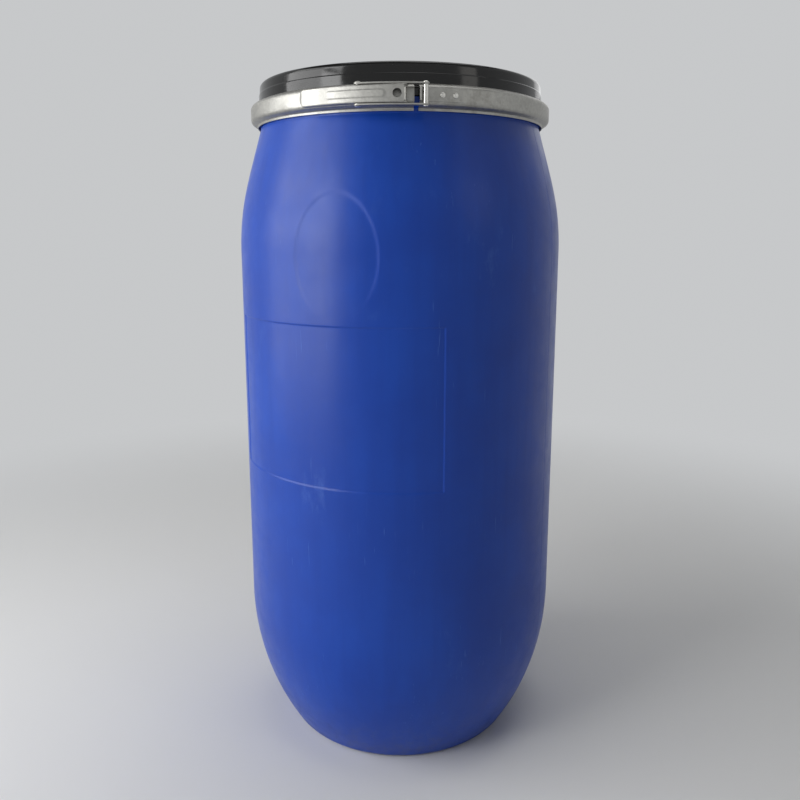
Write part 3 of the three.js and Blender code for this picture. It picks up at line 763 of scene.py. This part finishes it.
def flange_high(radius):
    """Height of the upper flange's inner face."""
    return FLANGE_EDGE + CLAMP_GAP - (radius - BEAD_RADIUS) * CLAMP_CONE


def clamp_band():
    """A rolled sheet that grips the lid's flange and the rim bead, open at the split."""
    sheet = BAND_SHEET * math.hypot(1, CLAMP_CONE)
    web = BAND_OUTER - BAND_SHEET
    edge = 0.0005
    inner_bend = BAND_BEND - BAND_SHEET
    lip_outer = BAND_TIP + BAND_SHEET
    lip_foot = flange_low(BAND_TIP) - sheet - BAND_LIP
    profile = rounded([
        (BAND_TIP, lip_foot, edge), (lip_outer, lip_foot, edge),
        (lip_outer, flange_low(lip_outer) - sheet, 0.0010),
        (BAND_OUTER, flange_low(BAND_OUTER) - sheet, BAND_BEND),
        (BAND_OUTER, flange_high(BAND_OUTER) + sheet, BAND_BEND),
        (BAND_TIP, flange_high(BAND_TIP) + sheet, edge), (BAND_TIP, flange_high(BAND_TIP), edge),
        (web, flange_high(web), inner_bend), (web, flange_low(web), inner_bend),
        (BAND_TIP, flange_low(BAND_TIP), 0.0014),
    ], closed=True, steps=7)
    angles = np.linspace(SPLIT_ANGLES[1], SPLIT_ANGLES[0] + 360, 340)
    sections = [[polar(radius, angle, height) for radius, height in profile] for angle in angles]
    return new_object("clamp_band_shell", *swept(sections))


def rivet(name, angle):
    """A rivet through the band: a domed head outside and a flat tail inside."""
    seat = BASE_OUTER + 0.0001
    inner = BAND_OUTER - BAND_SHEET - PIECE_GAP
    end = inner - RIVET_TAIL
    dome = [(RIVET_HEAD * math.cos(t), seat + HEAD_RIM + RIVET_DOME * math.sin(t)) for t in quarter(8)]
    profile = [(0, end), (RIVET_HEAD - 0.0004, end), (RIVET_HEAD, end + 0.0004),
               (RIVET_HEAD, inner), (RIVET_SHANK, inner), (RIVET_SHANK, seat),
               (RIVET_HEAD - 0.0002, seat), *dome]
    return merged(name, [turned(profile, Vector((0, 0, MIDDLE)), polar(1.0, angle), 32)])


# ---- Closure ----

def lever_outer(angle):
    """Radius of the lever's outer face, which stands further out towards the hinge."""
    at_hinge = HINGE_RADIUS + EAR_RADIUS + EAR_CLEARANCE + LEVER_SHEET
    at_end = LEVER_INNER + LEVER_DEPTH_END
    share = (angle - LEVER_END_ANGLE) / (HINGE_ANGLE - LEVER_END_ANGLE)
    return at_end + (at_hinge - at_end) * share


def lever_half(from_end):
    """Half the lever's height, which rounds off at the free end."""
    if from_end >= LEVER_END_ROUND:
        return LEVER_HALF
    drop = LEVER_END_ROUND ** 2 - (LEVER_END_ROUND - from_end) ** 2
    return LEVER_HALF - LEVER_END_ROUND + math.sqrt(max(drop, 0))


def raise_rib(outside, angle, outer):
    """Lifts the part of the outer face that lies on the rib."""
    along = math.radians(1) * outer
    rib_end = LEVER_RIB_HALF / along
    centre = min(max(angle, LEVER_RIB_ANGLES[0] + rib_end), LEVER_RIB_ANGLES[1] - rib_end)
    distance = np.hypot((angle - centre) * along, outside[:, 1])
    rise = LEVER_RIB_RISE * smooth((LEVER_RIB_HALF - distance) / LEVER_RIB_EDGE + 0.5)
    outside[:, 0] += np.where(outside[:, 0] > outer - 0.0001, rise, 0)


def lever_section(angle):
    """Closed section of the channel at an angle: outside from the lower edge up, then inside back."""
    from_end = math.radians(angle - LEVER_END_ANGLE) * LEVER_INNER
    half = lever_half(from_end)
    outer = lever_outer(angle) - LEVER_CROWN * float(smooth(1 - from_end / LEVER_CROWN_LENGTH))
    cavity = float(smooth(from_end / LEVER_CLOSED_END))
    web_inner = LEVER_INNER + (outer - LEVER_SHEET - LEVER_INNER) * cavity
    bend = min(LEVER_BEND, half * 0.5)
    bends = rounded([
        (LEVER_INNER, -half, 0), (outer, -half, bend), (outer, half, bend), (LEVER_INNER, half, 0),
    ], steps=6)
    face = [(outer, z) for z in np.linspace(-half + bend, half - bend, 23)[1:-1]]
    outside = np.concatenate([bends[:8], face, bends[8:]])
    raise_rib(outside, angle, outer)
    inner_half = half - LEVER_SHEET
    inner_bend = 0.001 * cavity + 1e-5
    inside = rounded([
        (LEVER_INNER, inner_half, 0), (web_inner, inner_half, inner_bend),
        (web_inner, -inner_half, inner_bend), (LEVER_INNER, -inner_half, 0),
    ], steps=4)
    return np.concatenate([outside, inside])


def lever():
    """The channel with its round hole, and the two knuckles that turn on the hinge pin."""
    near_end = LEVER_END_ANGLE + 0.02 + 3.0 * (1 - np.cos(quarter(22)))
    angles = np.concatenate([near_end, np.arange(near_end[-1] + 0.35, HINGE_ANGLE, 0.35), [HINGE_ANGLE]])
    sections = [[polar(radius, angle, MIDDLE + height) for radius, height in lever_section(angle)]
                for angle in angles]
    channel = new_object("lever_channel", *swept(sections))
    hole = [(0, HINGE_RADIUS), (LEVER_HOLE_RADIUS, HINGE_RADIUS), (LEVER_HOLE_RADIUS, BODY_RADIUS),
            (0, BODY_RADIUS)]
    window = turned(hole, Vector((0, 0, MIDDLE)), polar(1.0, LEVER_HOLE_ANGLE), 48)
    cut(channel, merged("window_cutter", [window]))
    parts = [dissolved(channel)]
    knuckle = ring(HINGE, HINGE_RADIUS - LEVER_INNER, 40)
    bore = ring(HINGE, HINGE_PIN_RADIUS + PIN_CLEARANCE, 28)
    for low in (MIDDLE - LEVER_HALF, MIDDLE + LEVER_HALF - LEVER_SHEET):
        parts.append(plate("knuckle", [knuckle, bore], low + SKIN_GAP, low + LEVER_SHEET - SKIN_GAP))
    return merged("lever_arm", parts)


def hinge_bracket():
    """A foot on the band and two ears that hold the hinge pin."""
    low = MIDDLE - LEVER_HALF + LEVER_SHEET + PLATE_GAP
    high = 2 * MIDDLE - low
    foot = [*arc(BASE_OUTER, *BRACKET_ANGLES), *reversed(arc(SEAT_RADIUS, *BRACKET_ANGLES))]
    parts = [plate("foot", [foot], low, high)]
    outward = math.degrees(math.atan2(HINGE.y, HINGE.x))
    half = math.degrees(EAR_RADIUS / SEAT_RADIUS)
    root = SEAT_RADIUS + BASE_SHEET / 4  # the ears start inside the foot's sheet
    ear = [polar(root, HINGE_ANGLE - half).xy, *ring(HINGE, EAR_RADIUS, 20, outward - 90, 180),
           polar(root, HINGE_ANGLE + half).xy]
    bore = ring(HINGE, HINGE_PIN_RADIUS + PIN_CLEARANCE, 28)
    for bottom in (low, high - BRACKET_SHEET):
        parts.append(plate("ear", [ear, bore], bottom + SKIN_GAP, bottom + BRACKET_SHEET - SKIN_GAP))
    return merged("hinge_bracket_sheet", parts)


def pin(name, node, centre, radius, head=0.0, head_height=0.0):
    """An upright pin as high as its node, with chamfered or domed ends."""
    low, high = (corner.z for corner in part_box(node))
    if head:
        seat = high - head_height
        dome = [(head * math.cos(t), seat + HEAD_RIM + (head_height - HEAD_RIM) * math.sin(t))
                for t in quarter(8)]
        top = [(radius, seat), (head - 0.0003, seat), *dome]
    else:
        top = [(radius, high - PIN_CHAMFER), (radius - PIN_CHAMFER, high), (0, high)]
    bottom = [(r, low + high - z) for r, z in reversed(top)]
    return merged(name, [turned([*bottom, *top], Vector((centre.x, centre.y, 0)), (0, 0, 1))])


def catch_hook():
    """A formed sheet: a foot riveted to the band and a lug bent outwards."""
    low = MIDDLE - HOOK_HALF_HEIGHT
    lug_end = CATCH_ANGLE - math.degrees((CATCH_BAR_RADIUS + HOOK_CLEARANCE) / LINK_RADIUS)
    lug_start = lug_end - math.degrees(HOOK_LUG / LINK_RADIUS)
    tip = LINK_RADIUS + CATCH_BAR_RADIUS
    inner_bend = [polar(BASE_OUTER + 0.0014 * (1 - math.sin(t)), lug_end + 0.36 * (1 - math.cos(t))).xy
                  for t in quarter(6)]
    outer_bend = [polar(SEAT_RADIUS + 0.0018 * (1 - math.cos(t)), lug_start + 0.46 * (1 - math.sin(t))).xy
                  for t in quarter(6)]
    outline = [
        polar(tip, lug_start + 0.12).xy, polar(tip, lug_end - 0.12).xy, polar(tip - 0.0006, lug_end).xy,
        *inner_bend, *arc(BASE_OUTER, lug_end + 0.8, HOOK_END_ANGLE),
        *reversed(arc(SEAT_RADIUS, lug_start + 0.9, HOOK_END_ANGLE)), *outer_bend,
        polar(tip - 0.0006, lug_start).xy,
    ]
    return merged("catch_hook_sheet", [plate("hook", [outline], low, low + 2 * HOOK_HALF_HEIGHT)])


def link_plate(name, node):
    """A stamped curved strip with round ends and two holes."""
    low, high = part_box(node)
    catch = polar(LINK_RADIUS, CATCH_ANGLE)
    first = math.degrees(math.atan2(LINK.y, LINK.x))
    last = math.degrees(math.atan2(catch.y, catch.x))
    outline = [
        *arc(LINK_RADIUS + LINK_HALF_WIDTH, LINK_PIN_ANGLE, CATCH_ANGLE),
        *ring(catch, LINK_HALF_WIDTH, 16, last, 180)[1:-1],
        *arc(LINK_RADIUS - LINK_HALF_WIDTH, CATCH_ANGLE, LINK_PIN_ANGLE),
        *ring(LINK, LINK_HALF_WIDTH, 16, first + 180, 180)[1:-1],
    ]
    holes = [ring(LINK, LINK_PIN_RADIUS + PIN_CLEARANCE, 28),
             ring(catch, CATCH_BAR_RADIUS + PIN_CLEARANCE, 28)]
    return merged(name, [plate(name + "_strip", [outline, *holes], low.z, high.z)])


# ---- Assembly ----

def fit(piece, node, body, material):
    """The piece stands for a CAD node, moves with its body and has one material."""
    piece.data.materials.clear()
    piece.data.materials.append(material)
    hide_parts(node)
    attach(piece, body)


def build_drum():
    blue = blue_plastic()
    black = black_plastic()
    band_metal = galvanised("galvanised_band", (1, 1, 9), 1.05)
    sheet_metal = galvanised("galvanised_sheet", (1, 1, 5))
    plated = zinc()
    fit(drum_body(), "drum_body", "drum", blue)
    fit(lid(), "lid", "lid", black)
    fit(gasket(), "lid_gasket", "lid", rubber())
    fit(clamp_band(), "clamp_band", "clamp_ring", band_metal)
    fit(hinge_bracket(), "hinge_bracket", "clamp_ring", sheet_metal)
    fit(catch_hook(), "catch_hook", "clamp_ring", sheet_metal)
    for kind, angles in (("hinge_bracket", BRACKET_RIVET_ANGLES), ("catch_hook", HOOK_RIVET_ANGLES)):
        for i, angle in enumerate(angles):
            node = f"{kind}_rivet_{i + 1}"
            fit(rivet(node + "_head", angle), node, "clamp_ring", plated)
    hinge_pin = pin("hinge_pin_turned", "hinge_pin", HINGE, HINGE_PIN_RADIUS)
    fit(hinge_pin, "hinge_pin", "clamp_ring", plated)
    fit(lever(), "lever", "lever", sheet_metal)
    link_pin = pin("link_pin_turned", "link_pin", LINK, LINK_PIN_RADIUS,
                   LINK_PIN_HEAD_RADIUS, LINK_PIN_HEAD_HEIGHT)
    fit(link_pin, "link_pin", "lever", plated)
    for side in ("upper", "lower"):
        node = f"link_plate_{side}"
        fit(link_plate(f"link_strip_{side}", node), node, "link", sheet_metal)
    bar = pin("catch_bar_turned", "catch_bar", polar(LINK_RADIUS, CATCH_ANGLE), CATCH_BAR_RADIUS)
    fit(bar, "catch_bar", "link", plated)


# ---- Stage: pale floor that runs up into a round wall, a window-like key light and soft fills ----

FLOOR_RADIUS = 3.6
WALL_BEND = 1.4
WALL_TOP = 6.0
GLOW = (0.57, 0.58, 0.59, 1)
GLOW_START = 0.6  # distances from the origin between which the paper turns to the even glow
GLOW_FULL = 2.1
WINDOW_X = -2.1
WINDOW_COLUMNS = ((-1.62, 0.80), (-0.45, 1.40))  # middle and width of each column of panes
PANE_POWERS = (6.5, 9.0, 9.0, 6.5)  # from the lowest row up
PANE_HEIGHT = 0.50
PANE_FIRST = 0.42  # height of the lowest row's middle
PANE_STEP = 0.60


def paper_material():
    """Pale paper; away from the drum, rays from the camera and mirror rays see it evenly lit."""
    s = Shader("studio_paper", Specular_IOR_Level=0.15)
    tone = s.mix(s.noise(1.2, 3.0), (0.78, 0.78, 0.77, 1), (0.80, 0.80, 0.79, 1))
    roughness = s.span(s.noise(400.0, 2.0), 0.3, 0.7, 0.85, 0.95)
    paper = s.finish(tone, roughness, s.bump(s.noise(900.0, 2.0), 0.0001))
    path = s.node("ShaderNodeLightPath")
    seen = s.math("MAXIMUM", path.outputs["Is Camera Ray"], path.outputs["Is Glossy Ray"])
    seen = s.math("MAXIMUM", seen, path.outputs["Is Transmission Ray"])
    distance = s.node("ShaderNodeVectorMath", {0: s.place}, operation="LENGTH").outputs["Value"]
    amount = s.math("MULTIPLY", seen, s.span(distance, GLOW_START, GLOW_FULL))
    glow = s.node("ShaderNodeEmission", {"Color": GLOW, "Strength": 1.0}).outputs[0]
    mixed = s.node("ShaderNodeMixShader", {0: amount, 1: s.principled.outputs[0], 2: glow}).outputs[0]
    s.tree.links.new(mixed, s.tree.nodes["Material Output"].inputs["Surface"])
    return paper


def stage():
    """A round floor that bends up into a wall."""
    bend = [(FLOOR_RADIUS + WALL_BEND * math.sin(t), WALL_BEND * (1 - math.cos(t))) for t in quarter(24)]
    flat = [(r, 0) for r in np.linspace(0.5, FLOOR_RADIUS - 0.1, 8)]
    profile = np.array([(0, 0), *flat, *bend, (FLOOR_RADIUS + WALL_BEND, WALL_TOP)])
    floor = spin("studio_floor", profile, segments=96)
    floor.data.materials.append(paper_material())


def lamp(name, place, target, size, power, colour=(1, 1, 1)):
    """A rectangular lamp that points at the target and isn't seen itself by the camera."""
    light = bpy.data.lights.new(name, "AREA")
    light.shape = "RECTANGLE"
    light.size, light.size_y = size
    light.energy = power
    light.color = colour
    holder = bpy.data.objects.new(name, light)
    holder.location = place
    holder.rotation_euler = (Vector(target) - Vector(place)).to_track_quat("-Z", "Y").to_euler()
    holder.visible_camera = False
    bpy.context.scene.collection.objects.link(holder)


def window():
    """Panes in rows and columns on the left, each turned towards the drum."""
    for column, (y, width) in enumerate(WINDOW_COLUMNS):
        for row, power in enumerate(PANE_POWERS):
            height = PANE_FIRST + row * PANE_STEP
            target = (0, y * 0.35, height * 0.8)
            lamp(f"window_{column}_{row}", (WINDOW_X, y, height), target, (width, PANE_HEIGHT), power)


def lights():
    window()
    aim = (0, 0, 0.75)
    lamp("right_fill", (2.3, -1.7, 1.9), aim, (0.7, 0.9), 2.4, (1.0, 0.97, 0.92))
    lamp("top", (0.2, 0.3, 3.4), aim, (2.2, 2.2), 26)
    lamp("back", (1.4, 2.4, 2.2), aim, (1.6, 1.6), 6)
    world = bpy.data.worlds.new("studio_air")
    bpy.context.scene.world = world
    world.use_nodes = True
    air = world.node_tree.nodes["Background"]
    air.inputs["Color"].default_value = (0.85, 0.9, 1.0, 1)
    air.inputs["Strength"].default_value = 0.09


def camera():
    """A view from close in front, from a little below the lid's height, tilted down."""
    distance, height, tilt = 1.219, 0.778, 10.76
    lens = bpy.data.cameras.new("view")
    lens.sensor_width = 36
    lens.lens = 34.93
    lens.shift_y = -0.0273
    lens.clip_start = 0.01
    holder = bpy.data.objects.new("view", lens)
    holder.location = (0, -distance, height)
    holder.rotation_euler = (math.radians(90 - tilt), 0, 0)
    bpy.context.scene.collection.objects.link(holder)
    bpy.context.scene.camera = holder


bpy.context.scene.view_settings.view_transform = "Standard"
camera()
build_drum()
stage()
lights()
